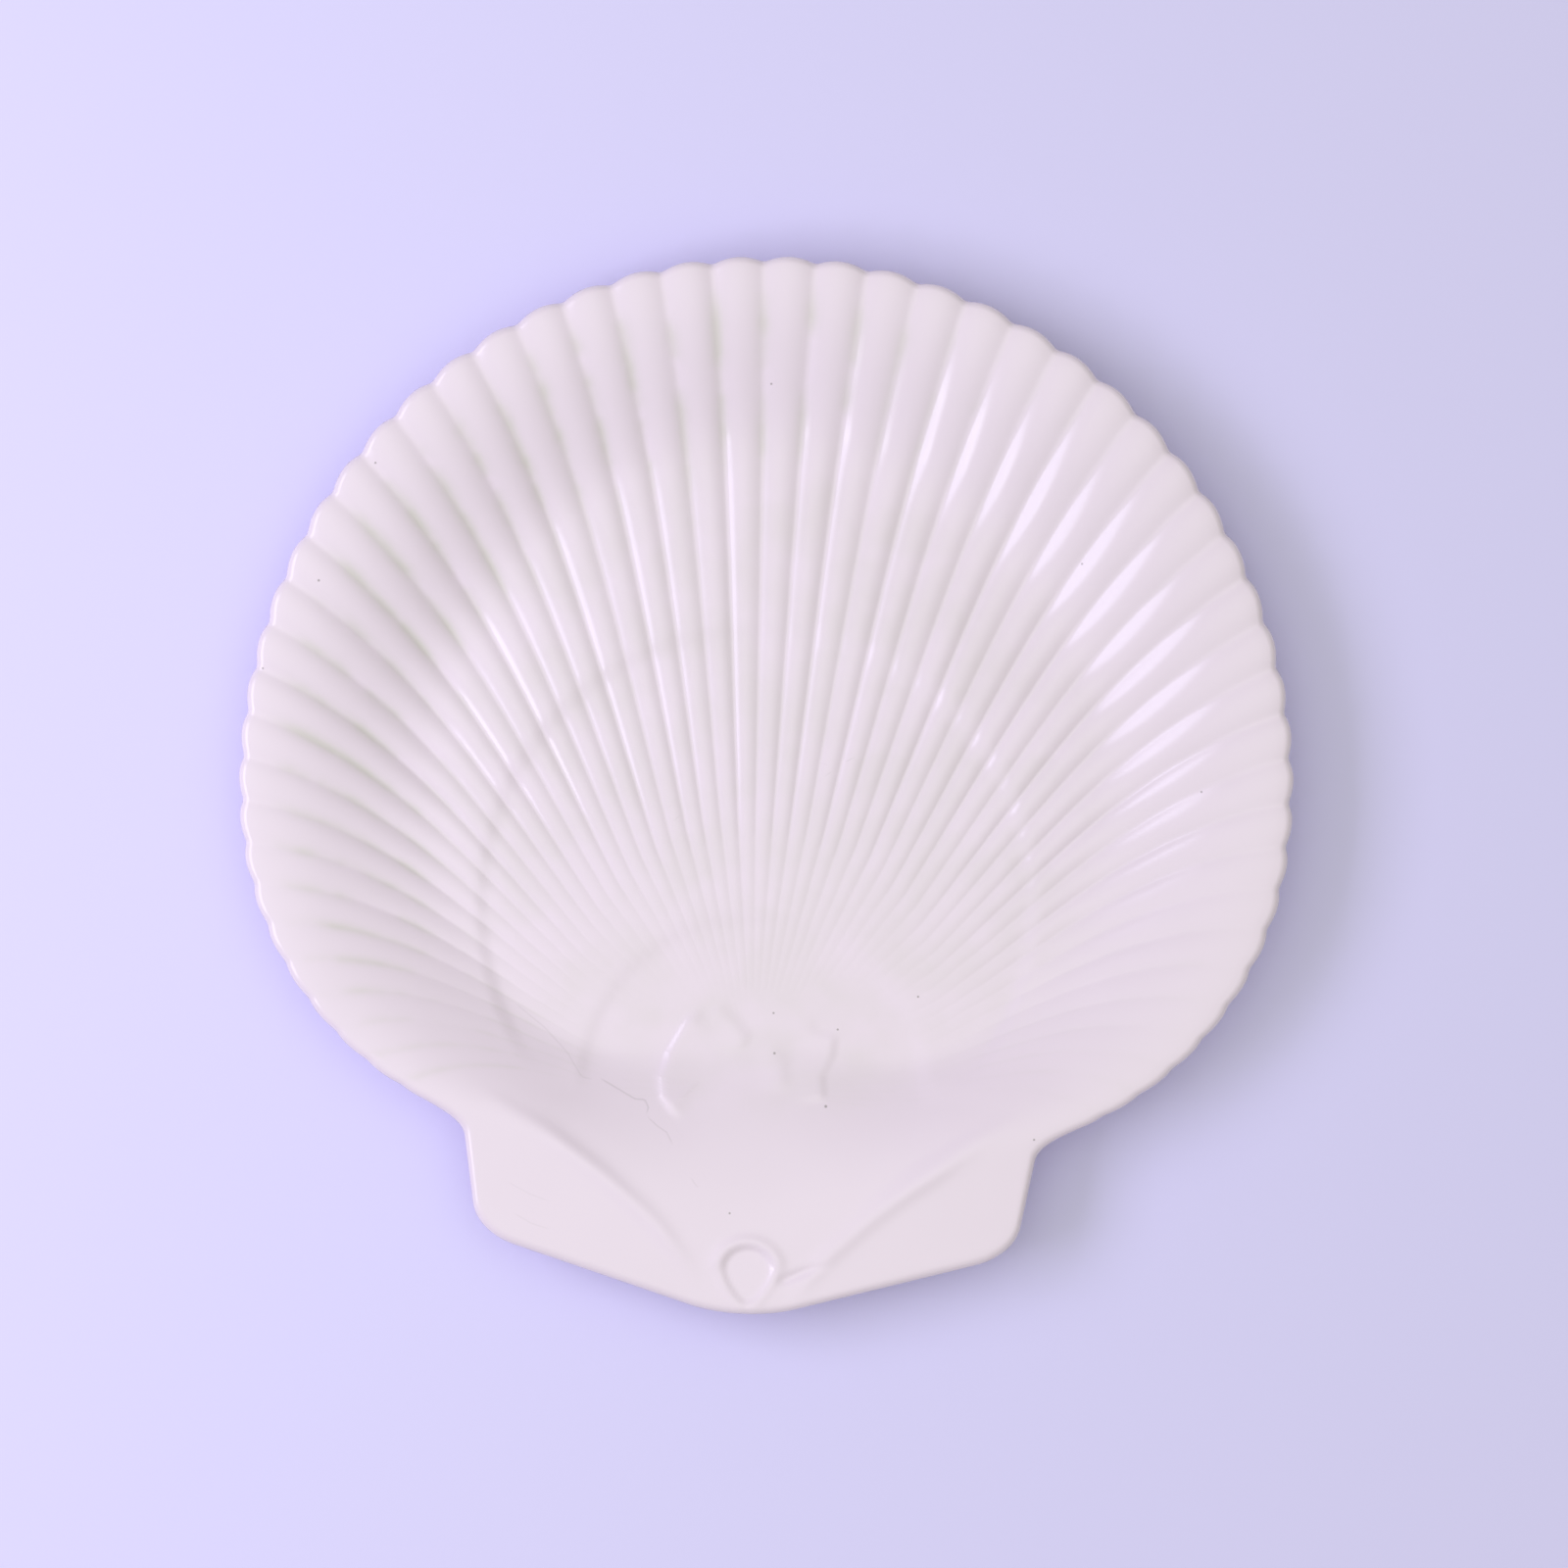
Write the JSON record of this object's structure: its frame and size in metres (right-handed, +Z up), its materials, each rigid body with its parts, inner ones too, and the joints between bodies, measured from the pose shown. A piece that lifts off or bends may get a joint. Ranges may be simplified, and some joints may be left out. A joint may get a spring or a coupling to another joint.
{
  "type": "shell shaped platter",
  "caption": "Shallow glazed platter in the shape of a scallop shell, with a ribbed bowl, a scalloped rim, flat ears at the hinge end and a foot ring.",
  "frame": {"origin": "on the table, under the middle of the outline", "axes": "+X towards the right ear, +Y from the ears towards the top of the fan, +Z up out of the bowl"},
  "size_m": [0.2698, 0.271, 0.022],
  "materials": {
    "glaze": "pale, softly glossy glaze over earthenware"
  },
  "bodies": {
    "root": {"platter": "glaze"}
  },
  "joints": []
}
